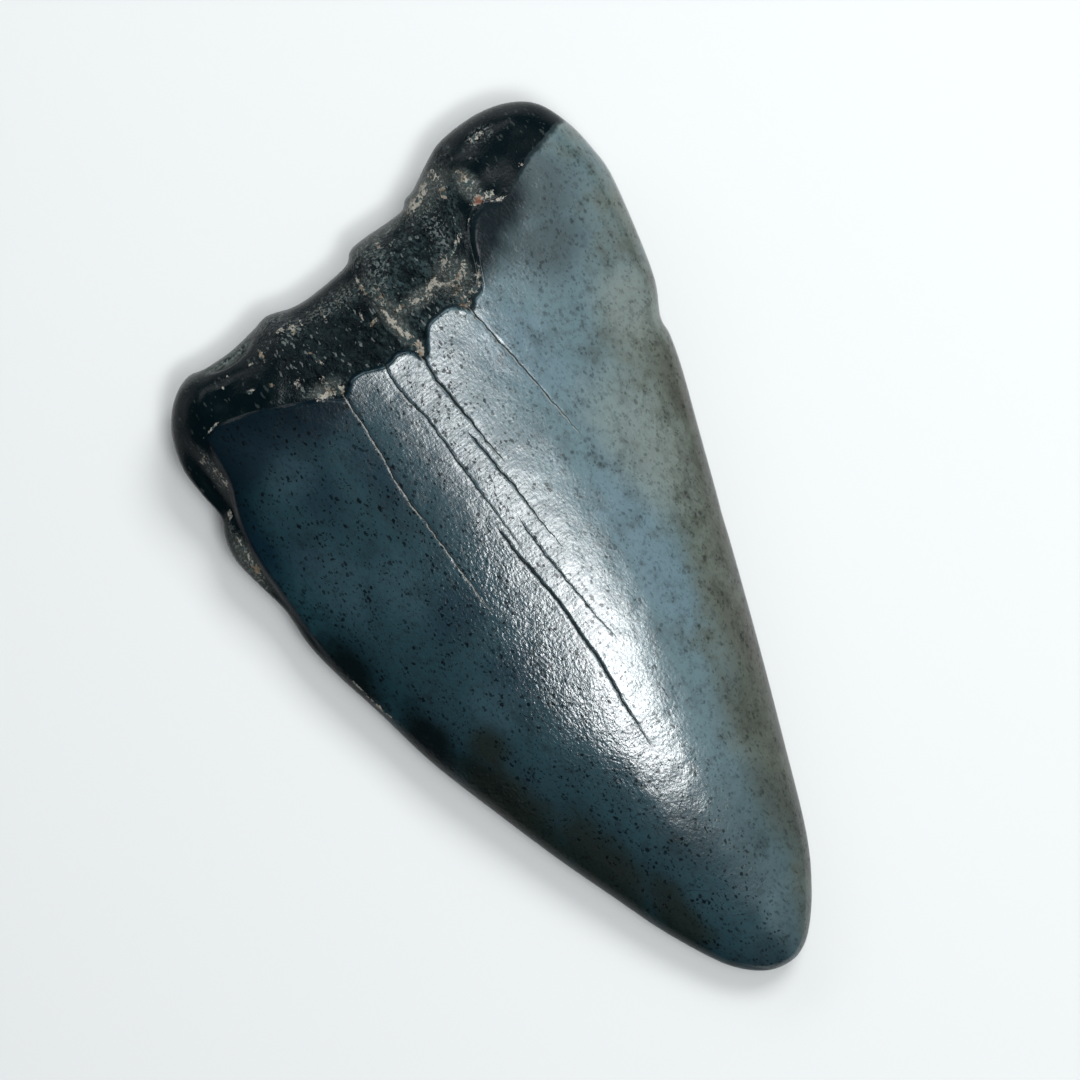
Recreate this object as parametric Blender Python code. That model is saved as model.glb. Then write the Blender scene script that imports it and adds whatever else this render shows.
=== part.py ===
"""A fossil shark tooth, grown as one piece: a black root and a worn, blue-grey enamel crown.

The tooth lies on its lower face, +Z up, with the root towards +Y and the tip towards -Y.
Its origin is at the middle of its outline, on the surface that it rests on. The body is one
closed solid: an upper and a lower sheet over the same grid of points, welded along the outline.
Lengths below are in millimetres and become metres where the mesh is written.
"""

import bmesh
import bpy
import numpy as np

MM = 0.001
NODE = "shark_tooth"
COLLECTION = "fossil_shark_tooth"

# The outline seen from above, as (x, y): up the right edge from the tip, along the root
# from the right lobe to the left one, and down the left edge.
TIP = (-3.5, -43.9)
RIGHT_EDGE = [
    (-1.2, -43.4), (0.8, -42.0), (3.2, -39.0), (5.8, -34.0), (9.1, -25.0), (12.4, -15.6), (15.5, -6.3),
    (16.6, -2.8), (17.4, -0.5), (19.4, 5.5), (21.4, 11.5), (22.3, 15.0), (22.5, 17.0),
    (24.1, 20.4), (25.3, 25.5), (26.3, 31.5), (26.2, 34.5), (25.6, 38.0),
]
ROOT_EDGE = [
    (24.1, 41.3), (21.6, 43.1), (18.2, 43.9), (14.2, 43.7), (11.9, 42.8), (9.1, 41.2),
    (7.8, 40.8), (6.6, 40.0), (2.0, 39.9), (0.4, 39.6), (-0.9, 38.6), (-5.0, 38.1),
    (-7.5, 38.2), (-10.0, 38.9), (-12.0, 38.5), (-15.0, 38.0), (-18.0, 38.0), (-19.8, 38.3),
    (-21.5, 37.7), (-23.2, 36.3),
]
LEFT_EDGE = [
    (-24.6, 34.2), (-25.5, 31.0), (-25.4, 28.0), (-25.1, 25.0), (-25.9, 23.0), (-26.3, 20.5),
    (-25.7, 17.0), (-25.0, 13.5), (-25.0, 9.5), (-24.3, 5.3), (-23.0, 0.0), (-21.4, -7.2),
    (-18.8, -15.2), (-16.3, -22.4), (-14.0, -28.3), (-11.7, -34.1), (-9.0, -39.3), (-6.9, -42.3),
]
ROOT_CORNERS = ((-24.2, 35.0), (24.6, 40.6))

# The edge of the enamel: its scalloped top, left to right, and the top of its left side.
ENAMEL_TOP = [
    (-25.5, 30.0), (-23.5, 31.0), (-21.6, 31.8), (-20.3, 32.3), (-18.5, 32.1), (-15.0, 31.0),
    (-11.5, 29.4), (-9.5, 28.7), (-8.0, 27.8), (-6.6, 28.8), (-5.0, 28.8), (-3.0, 28.1),
    (-1.3, 28.4), (0.0, 27.8), (0.7, 26.6), (1.6, 27.8), (2.7, 29.1), (5.3, 29.4), (6.4, 28.8),
    (7.1, 28.0), (7.9, 28.7), (9.0, 29.1), (9.8, 30.7), (10.8, 33.3), (12.2, 35.1),
    (13.8, 35.7), (15.5, 35.0), (17.6, 35.8), (20.0, 37.2), (22.5, 37.9), (25.3, 38.9),
]
ENAMEL_SIDE = [
    (-24.2, 6.0), (-24.4, 12.0), (-24.5, 18.0), (-24.1, 22.0), (-23.4, 24.6), (-22.4, 27.0),
    (-22.0, 30.0), (-21.6, 31.8),
]

# The four long growth cracks of the crown, from the enamel's top down to where they close.
CRACKS = {
    "A": [(-7.9, 2.3), (-8.1, 8.4), (-8.2, 12.0), (-8.4, 16.8), (-8.0, 23.7), (-7.9, 27.8)],
    "B": [(-2.2, -17.9), (-1.8, -8.4), (-1.8, -1.6), (-2.4, 4.5), (-2.5, 9.0), (-2.3, 14.7),
          (-2.5, 20.0), (-3.1, 25.0), (-2.9, 28.0)],
    "C": [(1.0, -7.3), (0.2, -1.1), (0.5, 4.0), (1.1, 7.2), (0.9, 11.0), (1.2, 15.5),
          (0.8, 20.5), (0.5, 24.0), (0.7, 26.6)],
    "F": [(9.1, 11.6), (8.6, 16.5), (7.9, 21.8), (7.4, 25.5), (7.1, 28.0)],
}
CRACK_DEPTH = 0.35
CRACK_HALF_WIDTH = 0.3
CRACK_FADE = 5.0

# Heights along the tooth, as (y, height): the widest line of the edge above the resting plane,
# the radius that rounds the edge, and how far the upper face swells above that rounding.
EDGE_HEIGHT = [(-44, 2.3), (-30, 2.9), (-10, 3.5), (10, 4.0), (26, 4.8), (36, 6.0), (44, 6.4)]
EDGE_RADIUS = [(-44, 0.8), (-30, 0.9), (0, 1.0), (15, 1.3), (26, 2.0), (34, 3.0), (44, 3.4)]
SWELL = [(-44, 0.0), (-42, 0.9), (-38, 2.1), (-33, 3.3), (-28, 4.4), (-15, 6.3), (0, 7.2),
         (15, 7.3), (28, 6.6), (36, 5.8), (44, 5.0)]
SHOULDER_Y = (31.0, 34.0)  # where the tooth is widest, at its left and at its right
ROOT_FALL = 9.0  # over this length the swelling runs out at the root's edge
UPPER_TIP_FALL = 0.5
LOWER_TIP_FALL = 16.0
BELLY_SHARE = 1.15  # past 1, so that the belly is cut flat by the resting plane

# The enamel stands proud of the root, whose surface is lumpy: (x, y, radius, height).
LEDGE = 0.5
LEDGE_BELOW = 0.25
LEDGE_ABOVE = 0.45
SKIRT = 1.6  # the relief fades out over this distance from the outline
LUMPS = [
    (-20.5, 35.0, 3.5, 0.9), (-10.0, 35.0, 3.2, 0.6), (-0.4, 34.5, 1.8, 0.7),
    (4.0, 36.0, 3.0, 0.5), (8.2, 31.6, 1.8, 0.7), (18.5, 40.0, 4.5, 0.7), (10.0, 39.6, 1.8, 0.6),
    (-15.5, 37.2, 2.2, -0.9), (4.0, 30.4, 1.8, -0.5), (-4.5, 30.2, 2.4, -0.4),
    (-23.8, 28.5, 1.7, -0.9), (12.6, 40.4, 1.2, -0.6), (-24.6, 20.5, 1.3, -0.5),
]
ROUGHNESS = 0.28
ROUGH_PITCH = 2.3
ROUGH_SEED = 7

# How many cells of the grid lie between the root's edge, the enamel's top and the tip, and
# between the outline, the enamel's left side, each crack and the outline again.
ROOT_ROWS = 14
CROWN_ROWS = 44
CROWN_ROW_GROWTH = 1.25
TIP_ROWS = 7
TIP_REACH = 4.0
CELLS_BETWEEN = (5, 8, 5, 4, 5, 11)
STRIP_SHARE = 0.18
STRIP_FULL_WIDTH = 5.0


def curve_through(points, closed, steps=12):
    """Points of the Catmull-Rom curve that runs through these ones."""
    pts = np.array(points, float)
    if closed:
        before, after = np.roll(pts, 1, 0), np.roll(pts, -1, 0)
        start, end = pts, after
        second = np.roll(pts, -2, 0)
    else:
        padded = np.vstack([2 * pts[0] - pts[1], pts, 2 * pts[-1] - pts[-2]])
        before, start, end, second = padded[:-3], padded[1:-2], padded[2:-1], padded[3:]
    t = np.linspace(0, 1, steps, endpoint=False)[None, :, None]
    a, b, c, d = (p[:, None, :] for p in (before, start, end, second))
    spans = 0.5 * (2 * b + (c - a) * t + (2 * a - 5 * b + 4 * c - d) * t**2 + (3 * b - a - 3 * c + d) * t**3)
    curve = spans.reshape(-1, 2)
    return curve if closed else np.vstack([curve, pts[-1:]])


def along(stations, at):
    """The smooth value at a place, through (place, value) stations, by cubic Hermite spans."""
    places, values = np.array(stations, float).T
    slopes = np.gradient(values, places)
    at = np.clip(at, places[0], places[-1])
    k = np.clip(np.searchsorted(places, at) - 1, 0, len(places) - 2)
    width = places[k + 1] - places[k]
    t = (at - places[k]) / width
    rise = values[k + 1] - values[k]
    lean = width * (slopes[k] * (1 - t) - slopes[k + 1] * t)
    return values[k] + rise * (3 - 2 * t) * t**2 + lean * t * (1 - t)


def smoothstep(low, high, value):
    """0 below low, 1 above high, and an S between them."""
    t = np.clip((value - low) / (high - low), 0, 1)
    return t * t * (3 - 2 * t)


def distance_to(curve, x, y):
    """The distance of each point to the nearest segment of a curve."""
    a, b = curve[:-1], curve[1:]
    span = b - a
    offset = np.stack([x, y], -1)[..., None, :] - a
    t = np.clip((offset * span).sum(-1) / (span**2).sum(-1), 0, 1)
    return np.linalg.norm(offset - t[..., None] * span, axis=-1).min(-1)


OUTLINE = curve_through([TIP] + RIGHT_EDGE + ROOT_EDGE + LEFT_EDGE, closed=True)
OUTLINE = np.vstack([OUTLINE, OUTLINE[:1]])
ENAMEL_TOP_CURVE = curve_through(ENAMEL_TOP, closed=False)
ENAMEL_SIDE_CURVE = curve_through(ENAMEL_SIDE, closed=False)
MIDDLE = (OUTLINE.min(0) + OUTLINE.max(0)) / 2
HIGHEST = OUTLINE[:, 1].argmax()
LOWEST = OUTLINE[:-1, 1].argmin()
LEFT_CORNER = np.hypot(*(OUTLINE - ROOT_CORNERS[0]).T).argmin()
RIGHT_SIDE = OUTLINE[LOWEST:HIGHEST]
LEFT_SIDE = OUTLINE[LEFT_CORNER:][::-1]


def right_x(y):
    """The outline's x on the right, at this y."""
    return np.interp(y, RIGHT_SIDE[:, 1], RIGHT_SIDE[:, 0])


def left_x(y):
    """The outline's x on the left, at this y, up to the left lobe's corner."""
    return np.interp(y, LEFT_SIDE[:, 1], LEFT_SIDE[:, 0])


def root_y(x):
    """The outline's y along the root, at this x."""
    top = OUTLINE[OUTLINE[:, 1] > SHOULDER_Y[0]]
    order = np.argsort(top[:, 0])
    return np.interp(x, top[order, 0], top[order, 1])


def enamel_y(x):
    """The y of the enamel's top edge, at this x."""
    return np.interp(x, ENAMEL_TOP_CURVE[:, 0], ENAMEL_TOP_CURVE[:, 1])


def enamel_x(y):
    """The x of the enamel's left side, at this y, kept inside the outline."""
    side = np.interp(y, ENAMEL_SIDE_CURVE[:, 1], ENAMEL_SIDE_CURVE[:, 0])
    width = right_x(y) - left_x(y)
    return np.maximum(side, left_x(y) + STRIP_SHARE * np.minimum(width, STRIP_FULL_WIDTH))


def crack_x(name, y):
    """The x of a crack's line, which keeps its share of the width below the crack's end."""
    xs, ys = np.array(CRACKS[name], float).T
    low = ys[0]
    share = (xs[0] - left_x(low)) / (right_x(low) - left_x(low))
    below = left_x(y) + share * (right_x(y) - left_x(y))
    return np.where(y < low, below, np.interp(y, ys, xs))


def column_places():
    """For each column, the line at its left and its share of the way to the next line."""
    places = []
    for line, cells in enumerate(CELLS_BETWEEN):
        even = np.arange(cells) / cells
        # Columns crowd towards the outline, and towards both sides of a crack.
        crowded = 1 - np.cos(even * np.pi / 2) if line == 0 else even**3 * (10 - 15 * even + 6 * even**2)
        places += [(line, share) for share in crowded]
    places.append((len(CELLS_BETWEEN) - 1, 1.0))
    line, share = np.array(places).T
    return line.astype(int), share


def column_x(y):
    """The x of each column, given the y of each column."""
    cracks = [crack_x(name, y) for name in CRACKS]
    lines = np.stack([left_x(y), enamel_x(y)] + cracks + [right_x(y)])
    line, share = column_places()
    column = np.arange(len(line))
    return lines[line, column] * (1 - share) + lines[line + 1, column] * share


def root_rows(top_x, top_y):
    """The rows from the root's edge down to the enamel's top, which crowd towards both."""
    across = (top_x - top_x[0]) / (top_x[-1] - top_x[0])
    left, right = ROOT_CORNERS
    edge_x = left[0] + across * (right[0] - left[0])
    edge_y = root_y(edge_x)
    upward = 0.5 + 0.5 * np.cos(np.pi * np.arange(ROOT_ROWS)[:, None] / ROOT_ROWS)
    x = top_x + upward * (edge_x - top_x)
    y = top_y + upward * (edge_y - top_y)
    # Both end columns lie on the outline, and the columns beside them follow.
    x += (left_x(y[:, :1]) - x[:, :1]) * (1 - across) ** 8 + (right_x(y[:, -1:]) - x[:, -1:]) * across**8
    x[0] = edge_x
    return x, y


def crown_rows(top_y):
    """The rows from the enamel's top to the tip: scalloped at first, then straight, then crowded."""
    middle = top_y.mean()
    length = middle - TIP[1]
    near_tip = TIP_REACH * (np.arange(TIP_ROWS) / TIP_ROWS) ** 2
    down = np.linspace(0, 1, CROWN_ROWS + 1) ** CROWN_ROW_GROWTH
    above_tip = np.append(length - (length - TIP_REACH) * down, near_tip[::-1])
    share = above_tip[:, None] / length
    y = TIP[1] + share * length + (top_y - middle) * share**3
    x = np.array([column_x(row) for row in y])
    x[-1], y[-1] = OUTLINE[LOWEST]
    return x, y


def plan():
    """The (x, y) of the grid, row by row from the root's edge to the tip."""
    top_y = np.full(sum(CELLS_BETWEEN) + 1, ENAMEL_TOP[0][1])
    for _ in range(6):
        top_y = enamel_y(column_x(top_y))
    root_x, root_row_y = root_rows(column_x(top_y), top_y)
    crown_x, crown_y = crown_rows(top_y)
    return np.vstack([root_x, crown_x]), np.vstack([root_row_y, crown_y])


def rim_rise(x, y, inset):
    """How far the rounded edge has risen, this far in from the outline."""
    radius = along(EDGE_RADIUS, y)
    return np.sqrt(radius**2 - (radius - np.minimum(inset, radius)) ** 2)


def fullness(x, y, tip_fall):
    """1 along the middle and 0 on the outline: a parabola across and at each end."""
    left = left_x(np.minimum(y, SHOULDER_Y[0]))
    right = right_x(np.minimum(y, SHOULDER_Y[1]))
    across = np.abs(2 * x - left - right) / (right - left)
    from_root = np.clip((root_y(x) - y) / ROOT_FALL, 0, 1)
    from_tip = np.clip((y - TIP[1]) / tip_fall, 0, 1)
    return (1 - np.minimum(across, 1) ** 2) * (1 - (1 - from_root) ** 2) * (1 - (1 - from_tip) ** 2)


def lattice_noise(x, y, pitch, seed):
    """Smooth noise from -1 to 1: random values on a square lattice, eased between its points."""
    values = np.random.default_rng(seed).uniform(-1, 1, (64, 64))
    u, v = x / pitch + 32, y / pitch + 32
    i, j = np.floor(u).astype(int) % 63, np.floor(v).astype(int) % 63
    s, t = smoothstep(0, 1, u % 1), smoothstep(0, 1, v % 1)
    low = values[i, j] * (1 - s) + values[i + 1, j] * s
    high = values[i, j + 1] * (1 - s) + values[i + 1, j + 1] * s
    return low * (1 - t) + high * t


def enamel_inset(x, y):
    """The distance in from the enamel's edge, below 0 on the root."""
    edge = np.vstack([ENAMEL_SIDE_CURVE, ENAMEL_TOP_CURVE[ENAMEL_TOP_CURVE[:, 0] > ENAMEL_SIDE[-1][0]]])
    distance = distance_to(edge, x, y)
    inside = (y < enamel_y(x)) & (x > np.interp(y, ENAMEL_SIDE_CURVE[:, 1], ENAMEL_SIDE_CURVE[:, 0]))
    inside |= y < ENAMEL_SIDE[0][1]
    return np.where(inside, distance, -distance)


def crack_cut(x, y):
    """How deep the cracks' grooves are here: a V along each line, running out at its lower end."""
    cut = np.zeros_like(x)
    for name, points in CRACKS.items():
        low, high = points[0][1], points[-1][1]
        depth = smoothstep(low, low + CRACK_FADE, y) * (y < high + CRACK_HALF_WIDTH)
        groove = np.clip(1 - np.abs(x - crack_x(name, y)) / CRACK_HALF_WIDTH, 0, 1)
        cut = np.maximum(cut, CRACK_DEPTH * depth * groove)
    return cut


def upper_height(x, y, inset):
    """The upper face: a rounded rim, a swelling, the enamel's ledge, the root's lumps, the cracks."""
    height = along(EDGE_HEIGHT, y) + rim_rise(x, y, inset)
    height += along(SWELL, y) * fullness(x, y, UPPER_TIP_FALL)
    inward = smoothstep(0, SKIRT, inset)
    depth = enamel_inset(x, y)
    root = 1 - smoothstep(-LEDGE_BELOW, LEDGE_ABOVE, depth)
    relief = -LEDGE + ROUGHNESS * lattice_noise(x, y, ROUGH_PITCH, ROUGH_SEED)
    for lump_x, lump_y, radius, lump in LUMPS:
        relief = relief + lump * np.exp(-((x - lump_x) ** 2 + (y - lump_y) ** 2) / radius**2)
    return height + inward * (root * relief - crack_cut(x, y))


def lower_height(x, y, inset):
    """The lower face: the same rim turned down, and a belly worn flat where the tooth rests."""
    radius = along(EDGE_RADIUS, y)
    edge = along(EDGE_HEIGHT, y)
    belly = BELLY_SHARE * (edge - radius) * fullness(x, y, LOWER_TIP_FALL)
    return np.maximum(edge - rim_rise(x, y, inset) - belly, 0)


def add_sheet(bm, x, y, z, facing_up):
    """One face of the tooth: a grid whose points are moved to their places."""
    rows, columns = x.shape
    made = bmesh.ops.create_grid(bm, x_segments=columns - 1, y_segments=rows - 1, size=1)
    for vert in made["verts"]:
        column = round((vert.co.x + 1) / 2 * (columns - 1))
        row = round((1 - vert.co.y) / 2 * (rows - 1))
        place = x[row, column] - MIDDLE[0], y[row, column] - MIDDLE[1], z[row, column]
        vert.co = [MM * value for value in place]
    faces = list({face for vert in made["verts"] for face in vert.link_faces})
    if not facing_up:
        bmesh.ops.reverse_faces(bm, faces=faces)


def tooth_mesh():
    """The closed body: both sheets, welded along the outline."""
    x, y = plan()
    inset = distance_to(OUTLINE, x, y)
    on_edge = np.zeros(x.shape, bool)
    on_edge[:, [0, -1]] = True
    on_edge[[0, -1], :] = True
    inset[on_edge] = 0
    edge = along(EDGE_HEIGHT, y)
    upper = np.where(on_edge, edge, upper_height(x, y, inset))
    lower = np.where(on_edge, edge, lower_height(x, y, inset))

    bm = bmesh.new()
    add_sheet(bm, x, y, upper, facing_up=True)
    add_sheet(bm, x, y, lower, facing_up=False)
    bmesh.ops.remove_doubles(bm, verts=bm.verts, dist=0.002 * MM)
    bmesh.ops.dissolve_degenerate(bm, edges=bm.edges, dist=0.001 * MM)
    bmesh.ops.triangulate(bm, faces=bm.faces)
    mesh = bpy.data.meshes.new(NODE)
    bm.to_mesh(mesh)
    bm.free()
    mesh.shade_smooth()
    mesh.set_sharp_from_angle(angle=np.radians(50))
    return mesh


def enamel_material():
    """The whole tooth's stand-in colour: dark blue-grey, polished."""
    material = bpy.data.materials.new("fossil_enamel")
    material.use_nodes = True
    shader = material.node_tree.nodes["Principled BSDF"]
    shader.inputs["Base Color"].default_value = (0.045, 0.085, 0.12, 1)
    shader.inputs["Roughness"].default_value = 0.3
    shader.inputs["Metallic"].default_value = 0
    return material


def build():
    for old in list(bpy.data.objects):
        bpy.data.objects.remove(old, do_unlink=True)
    collection = bpy.data.collections.new(COLLECTION)
    bpy.context.scene.collection.children.link(collection)
    tooth = bpy.data.objects.new(NODE, tooth_mesh())
    tooth.data.materials.append(enamel_material())
    collection.objects.link(tooth)


build()
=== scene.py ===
"""The looks of a fossil shark tooth that lies on a pale surface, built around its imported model."""

import bpy
import numpy as np
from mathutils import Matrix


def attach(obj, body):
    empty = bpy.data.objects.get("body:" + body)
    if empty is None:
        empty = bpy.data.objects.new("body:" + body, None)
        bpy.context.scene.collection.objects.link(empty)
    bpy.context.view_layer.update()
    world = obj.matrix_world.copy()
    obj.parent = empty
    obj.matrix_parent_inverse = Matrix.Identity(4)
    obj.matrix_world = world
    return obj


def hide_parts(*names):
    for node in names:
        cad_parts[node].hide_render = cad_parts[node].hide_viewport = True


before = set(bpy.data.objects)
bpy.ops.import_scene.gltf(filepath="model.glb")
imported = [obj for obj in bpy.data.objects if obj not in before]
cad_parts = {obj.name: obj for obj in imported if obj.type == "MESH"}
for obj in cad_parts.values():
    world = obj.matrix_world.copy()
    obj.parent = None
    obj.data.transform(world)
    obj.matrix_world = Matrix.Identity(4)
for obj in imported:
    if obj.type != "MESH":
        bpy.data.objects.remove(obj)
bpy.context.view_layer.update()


# The outline. The tooth is one natural piece of mineralised dentine and enamel, worn round by
# water and sand, so its outline is a smooth curve with two chips on the right, a nick on the left
# and a lobed root. Points are in millimetres, with the root towards +Y and the tip towards -Y.

MM = 0.001
TIP = (-3.2, -43.9)
RIGHT_EDGE = [
    (-1.3, -43.6), (0.6, -42.2), (3.1, -39.0), (5.8, -34.0), (9.1, -25.0), (12.4, -15.6), (15.5, -6.3),
    (16.6, -2.8), (17.4, -0.5), (19.4, 5.5), (21.4, 11.5), (22.3, 15.0), (22.5, 17.0),
    (24.1, 20.4), (25.3, 25.5), (26.3, 31.5), (26.2, 34.5), (25.6, 38.0),
]
ROOT_EDGE = [
    (24.1, 41.3), (21.6, 43.1), (18.2, 43.9), (14.2, 43.7), (11.9, 42.8), (9.1, 41.2),
    (7.8, 40.8), (6.6, 40.0), (2.0, 39.9), (0.4, 39.6), (-0.9, 38.6), (-5.0, 38.1),
    (-7.5, 38.2), (-10.0, 38.9), (-12.0, 38.5), (-15.0, 38.0), (-18.0, 38.0), (-19.8, 38.3),
    (-21.5, 37.7), (-23.2, 36.3),
]
LEFT_EDGE = [
    (-24.6, 34.2), (-25.5, 31.0), (-25.4, 28.0), (-25.1, 25.0), (-25.9, 23.0), (-26.3, 20.5),
    (-25.7, 17.0), (-25.0, 13.5), (-25.0, 9.5), (-24.3, 5.3), (-23.0, 0.0), (-21.4, -7.2),
    (-18.8, -15.2), (-16.3, -22.4), (-14.0, -28.3), (-11.7, -34.1), (-9.0, -39.4), (-7.3, -41.7),
    (-5.3, -43.3),
]
ROOT_CORNERS = ((-24.2, 35.0), (24.6, 40.6))


def curve_through(points, closed, steps=12):
    """The smooth curve through these points: each span is a cubic whose slope at a point is half
    the step from the point before it to the point after it."""
    pts = np.array(points, float)
    if closed:
        before, start, end, second = np.roll(pts, 1, 0), pts, np.roll(pts, -1, 0), np.roll(pts, -2, 0)
    else:
        padded = np.vstack([2 * pts[0] - pts[1], pts, 2 * pts[-1] - pts[-2]])
        before, start, end, second = padded[:-3], padded[1:-2], padded[2:-1], padded[3:]
    t = np.linspace(0, 1, steps, endpoint=False)[None, :, None]
    a, b, c, d = (p[:, None, :] for p in (before, start, end, second))
    spans = 2 * b + (c - a) * t
    spans = spans + (2 * a - 5 * b + 4 * c - d) * t**2 + (3 * b - a - 3 * c + d) * t**3
    curve = (0.5 * spans).reshape(-1, 2)
    return np.vstack([curve, pts[:1] if closed else pts[-1:]])


def smoothstep(low, high, value):
    """0 before low and 1 past high, and between them three times the square of the share of the way
    less twice its cube."""
    t = np.clip((value - low) / (high - low), 0, 1)
    return t * t * (3 - 2 * t)


def along(stations, at):
    """The value at a place, through (place, value) stations, by cubic spans whose slope at each
    station comes from its neighbours."""
    places, values = np.array(stations, float).T
    slopes = np.gradient(values, places)
    at = np.clip(at, places[0], places[-1])
    k = np.clip(np.searchsorted(places, at) - 1, 0, len(places) - 2)
    width = places[k + 1] - places[k]
    t = (at - places[k]) / width
    rise = values[k + 1] - values[k]
    lean = width * (slopes[k] * (1 - t) - slopes[k + 1] * t)
    return values[k] + rise * (3 - 2 * t) * t**2 + lean * t * (1 - t)


def distance_to(curve, x, y):
    """The distance of each point to the nearest segment of a curve: for each segment, the length
    from the point to its own foot on the segment."""
    nearest = np.full(np.shape(x), np.inf)
    for (ax, ay), (bx, by) in zip(curve[:-1], curve[1:]):
        dx, dy = bx - ax, by - ay
        t = np.clip(((x - ax) * dx + (y - ay) * dy) / (dx * dx + dy * dy), 0, 1)
        nearest = np.minimum(nearest, (x - ax - t * dx) ** 2 + (y - ay - t * dy) ** 2)
    return np.sqrt(nearest)


outline = curve_through([TIP] + RIGHT_EDGE + ROOT_EDGE + LEFT_EDGE, closed=True)
middle = (outline.min(0) + outline.max(0)) / 2
lowest = outline[:-1, 1].argmin()
highest = outline[:, 1].argmax()
left_corner = np.hypot(*(outline - ROOT_CORNERS[0]).T).argmin()
right_side = outline[lowest:highest]
left_side = outline[left_corner:][::-1]
root_side = outline[outline[:, 1] > LEFT_EDGE[1][1]]
root_side = root_side[np.argsort(root_side[:, 0])]


def right_x(y):
    """The outline's x on the right, read straight between its points."""
    return np.interp(y, right_side[:, 1], right_side[:, 0])


def left_x(y):
    """The outline's x on the left, up to the left lobe's corner."""
    return np.interp(y, left_side[:, 1], left_side[:, 0])


def root_y(x):
    """The outline's y along the root."""
    return np.interp(x, root_side[:, 0], root_side[:, 1])


# The enamel's edge. Enamel covers the crown like a cap and ends at the root in a scalloped edge,
# with a notch at each growth crack; on the left it also stops short of the outline, where its
# side has worn away and shows the dentine under it.

ENAMEL_TOP = [
    (-25.5, 30.0), (-23.5, 31.0), (-21.6, 31.8), (-20.3, 32.3), (-18.5, 32.1), (-15.0, 31.0),
    (-11.5, 29.4), (-9.5, 28.7), (-8.0, 27.8), (-6.6, 28.8), (-5.0, 28.8), (-3.0, 28.1),
    (-1.3, 28.4), (0.0, 27.8), (0.7, 26.6), (1.6, 27.8), (2.7, 29.1), (5.3, 29.4), (6.4, 28.8),
    (7.1, 28.0), (7.9, 28.7), (9.0, 29.1), (9.8, 30.7), (10.8, 33.3), (12.2, 35.1),
    (13.8, 35.7), (15.5, 35.0), (17.6, 35.8), (20.0, 37.2), (22.5, 37.9), (25.3, 38.9),
]
ENAMEL_SIDE = [
    (-24.2, 6.0), (-24.4, 12.0), (-24.5, 18.0), (-24.1, 22.0), (-23.4, 24.6), (-22.4, 27.0),
    (-22.0, 30.0), (-21.6, 31.8),
]
enamel_top = curve_through(ENAMEL_TOP, closed=False)
enamel_side = curve_through(ENAMEL_SIDE, closed=False)
enamel_edge = np.vstack([enamel_side, enamel_top[enamel_top[:, 0] > ENAMEL_SIDE[-1][0]]])


def enamel_inset(x, y):
    """The distance in from the enamel's edge in mm, below 0 on the root."""
    distance = distance_to(enamel_edge, x, y)
    inside = y < np.interp(x, enamel_top[:, 0], enamel_top[:, 1])
    inside &= x > np.interp(y, enamel_side[:, 1], enamel_side[:, 0])
    inside |= y < ENAMEL_SIDE[0][1]
    return np.where(inside, distance, -distance)


# The growth cracks. Seven long splits run down the crown, four of them from the enamel's edge,
# opened as the tooth dried and turned to stone, and partly edged with pale or tan rock. The pale
# line on a crack's left lip is also a painted highlight, where that raised lip catches the light.

# Each line is given from its lower end up, with its half width in mm, the share of its left lip that
# is drawn pale, as rock and painted highlight, and the row of the finish that draws it: cracks that
# lie side by side differ in it.
CRACKS = {
    "a": ([(-7.85, 1.5), (-8.1, 8.4), (-8.2, 12.0), (-8.45, 16.8), (-8.05, 21.6), (-7.95, 25.7),
           (-7.9, 28.0)], 0.08, 0.9, 0),
    "e": ([(1.0, -7.4), (0.5, -4.1), (0.2, -1.1), (-0.2, 2.4), (-0.45, 6.1), (-0.4, 8.4)], 0.08, 0.1, 0),
    "f": ([(9.3, 10.6), (8.6, 16.4), (8.1, 20.5), (7.6, 23.8), (7.3, 25.9), (7.05, 28.4)], 0.08, 0.8, 0),
    "b": ([(-1.95, 5.2), (-2.0, 8.4), (-2.2, 12.6), (-2.35, 17.3), (-2.5, 21.0), (-2.95, 24.0),
           (-3.2, 26.0), (-2.9, 28.3)], 0.09, 0.15, 1),
    "d": ([(1.5, 3.4), (1.1, 7.2), (1.0, 10.0), (0.6, 13.3), (0.35, 15.8), (0.1, 18.2)], 0.11, 0.15, 1),
    "b_low": ([(-2.2, -17.9), (-2.1, -12.8), (-1.75, -8.4), (-1.85, -4.0), (-1.8, -1.6), (-2.25, 2.7),
               (-2.6, 5.4), (-2.8, 9.0)], 0.13, 0.15, 2),
    "c": ([(1.5, 13.4), (1.25, 15.2), (1.0, 18.0), (0.7, 21.2), (0.45, 24.0), (0.6, 27.2)], 0.15, 0.5, 2),
}
# Three end inside the crown, and close at their upper ends too.
ENDING_IN_CROWN = ("e", "d", "b_low")
# In mm: the groove's depth, its extra width at each side, how far its line wanders, the lengths of
# its tapers, how far it runs on past the enamel's edge, and how far away the finish still sees it.
CRACK_DEPTH = 0.06
CRACK_SPREAD = 0.1
CRACK_WANDER = 0.06
CRACK_LOWER_TAPER = 9.0
CRACK_UPPER_TAPER = 1.2
CRACK_OVERRUN = 0.6
CRACK_REACH = 2.0
crack_curves = {name: curve_through(points, closed=False) for name, (points, *_) in CRACKS.items()}


def crack_side(name, x, y):
    """How far right of a crack's line each point lies, in mm. The line wanders a little."""
    curve = crack_curves[name]
    wander = CRACK_WANDER * (np.sin(4.1 * y + 9 * curve[0, 0]) + np.sin(1.7 * y + 5 * curve[0, 0])) / 2
    return x - np.interp(y, curve[:, 1], curve[:, 0]) - wander


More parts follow.
